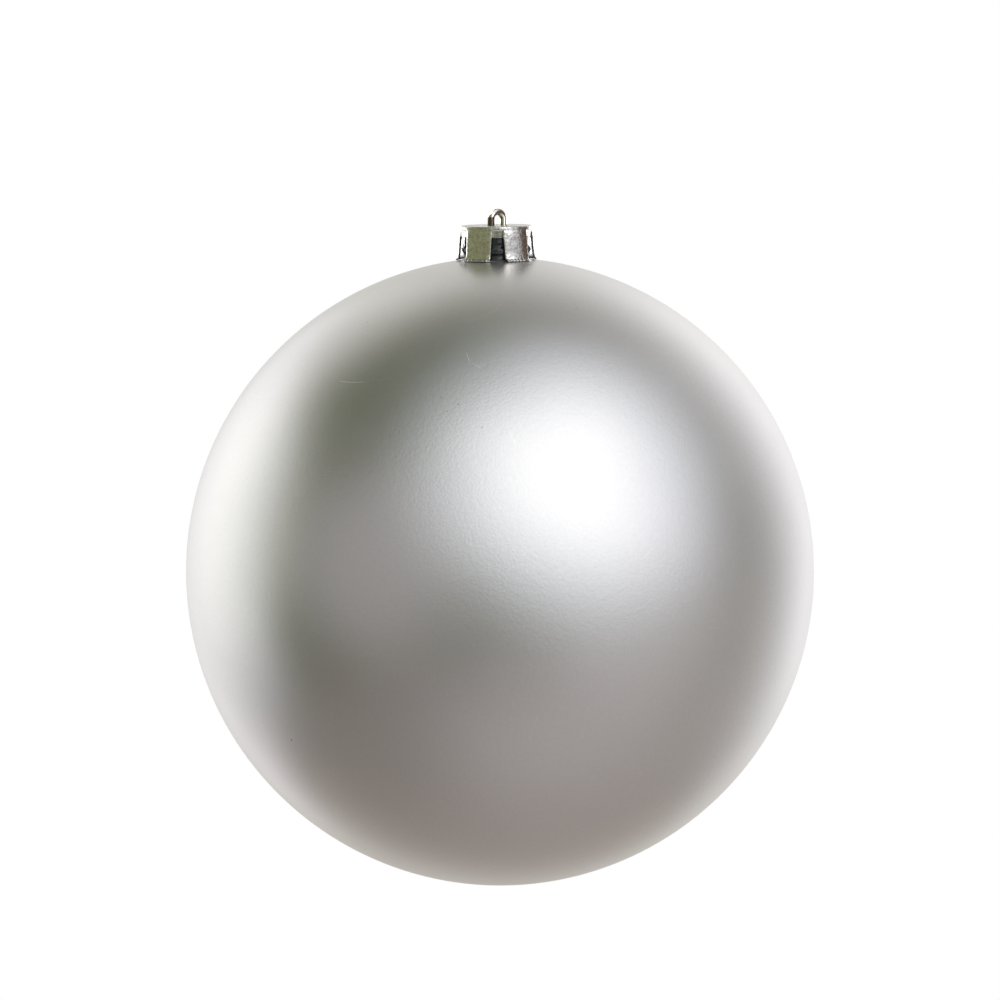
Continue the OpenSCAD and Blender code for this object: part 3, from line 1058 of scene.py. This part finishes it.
# --------------------------------------------------------------------------
# Small studio aids round the cap: two matt flags that only mirrored rays see,
# and small strips of light that reach only the metal parts
# --------------------------------------------------------------------------
AIDS_Z = CAP_Z - 5.0  # heights of the aids are from here
TO_CAMERA_LEVEL = direction(CAM_AZIMUTH, 0)
FLAG_R = 30.0
FLAG_STEPS = 24
FLAG_REACH = 13.6  # rays that start within this distance of the axis see the flags
# name, azimuths right of the camera (degrees), bottom and top, colour
FLAGS = [
    ("stage_flag_left", (-97, 5), (-9, 32), (0.40, 0.42, 0.25)),
    ("stage_flag_right", (68, 116), (-9, 26), (0.19, 0.135, 0.10)),
]
# name, azimuth right of the camera (degrees), distance, height, width, length,
# radiance, pieces it lights
STRIPS = [
    ("strip_left", -132, 70, 0, 60, 34, 3.2, (cap, wire)),
    ("strip_right", 137, 70, 0, 56, 34, 3.2, (cap, wire)),
    ("strip_back", 180, 150, 14, 150, 16, 2.0, (cap, wire)),
    ("strip_key", 32, 200, 125, 110, 90, 4.0, (cap,)),
    ("strip_loop", -100, 60, 85, 110, 110, 6.0, (wire,)),
    ("strip_loop_right", 45, 60, 12, 30, 40, 3.0, (wire,)),
    ("strip_loop_back", -150, 120, 60, 200, 130, 3.0, (wire,)),
]


def around(azimuth, radius, z):
    """A point at an azimuth right of the camera, a radius and a height."""
    a = math.radians(azimuth)
    v = VIEW_RIGHT * (math.sin(a) * radius) + TO_CAMERA_LEVEL * (math.cos(a) * radius)
    return Vector((v.x, v.y, AIDS_Z + z))


def flag_material(name, colour):
    """Only rays that set out from the metal and the neck meet the flag's inner side;
    for the ball, and from outside, it isn't there."""
    m = Graph(bpy.data.materials.new(name))
    surface = m.node("ShaderNodeNewGeometry").outputs
    ray_length = m.node("ShaderNodeLightPath").outputs["Ray Length"]
    back = m.vector("SCALE", surface["Incoming"], scale=ray_length)
    start = m.split(m.vector("ADD", surface["Position"], back))
    from_axis = m.add(m.times(start[0], start[0]), m.times(start[1], start[1]))
    near = m.math("LESS_THAN", from_axis, (FLAG_REACH * MM) ** 2)
    above = m.math("GREATER_THAN", start[2], (CAP_Z - CAP_H - 0.1) * MM)
    seen = m.times(m.times(near, above), m.inverse(surface["Backfacing"]))
    clear = m.node("ShaderNodeBsdfTransparent")
    glow = m.emission(colour)
    inputs = {0: seen, 1: clear.outputs[0], 2: glow.outputs[0]}
    mat = m.show(m.node("ShaderNodeMixShader", inputs))
    mat.cycles.emission_sampling = "NONE"
    return mat


def add_flag(name, azimuths, heights, colour):
    verts = []
    for i in range(FLAG_STEPS + 1):
        azimuth = azimuths[0] + (azimuths[1] - azimuths[0]) * i / FLAG_STEPS
        verts += [around(azimuth, FLAG_R, z) for z in heights]
    faces = [(2 * i, 2 * i + 1, 2 * i + 3, 2 * i + 2) for i in range(FLAG_STEPS)]
    obj = mesh_object(name, verts, faces, [flag_material(name, colour)])
    obj.visible_camera = obj.visible_diffuse = False
    obj.visible_shadow = obj.visible_transmission = False


def add_strip(name, azimuth, distance, z, width, length, radiance, pieces):
    light = bpy.data.lights.new(name, "AREA")
    light.shape = "RECTANGLE"
    light.size, light.size_y = width * MM, length * MM
    light.energy = radiance * math.pi * light.size * light.size_y
    obj = bpy.data.objects.new(name, light)
    SCENE.collection.objects.link(obj)
    obj.location = around(azimuth, distance, z) * MM
    aim = (around(0, 0, 0) * MM - obj.location).to_track_quat("-Z", "Y")
    obj.rotation_euler = aim.to_euler()
    obj.visible_camera = False
    lit = bpy.data.collections.new(name + "_lights")
    for piece in pieces:
        lit.objects.link(piece)
    obj.light_linking.receiver_collection = lit


for flag in FLAGS:
    add_flag(*flag)
for strip in STRIPS:
    add_strip(*strip)

SCENE.view_settings.view_transform = "Standard"
SCENE.view_settings.look = "None"
SCENE.view_settings.exposure = 0.0
SCENE.view_settings.gamma = 1.0

bpy.context.view_layer.update()
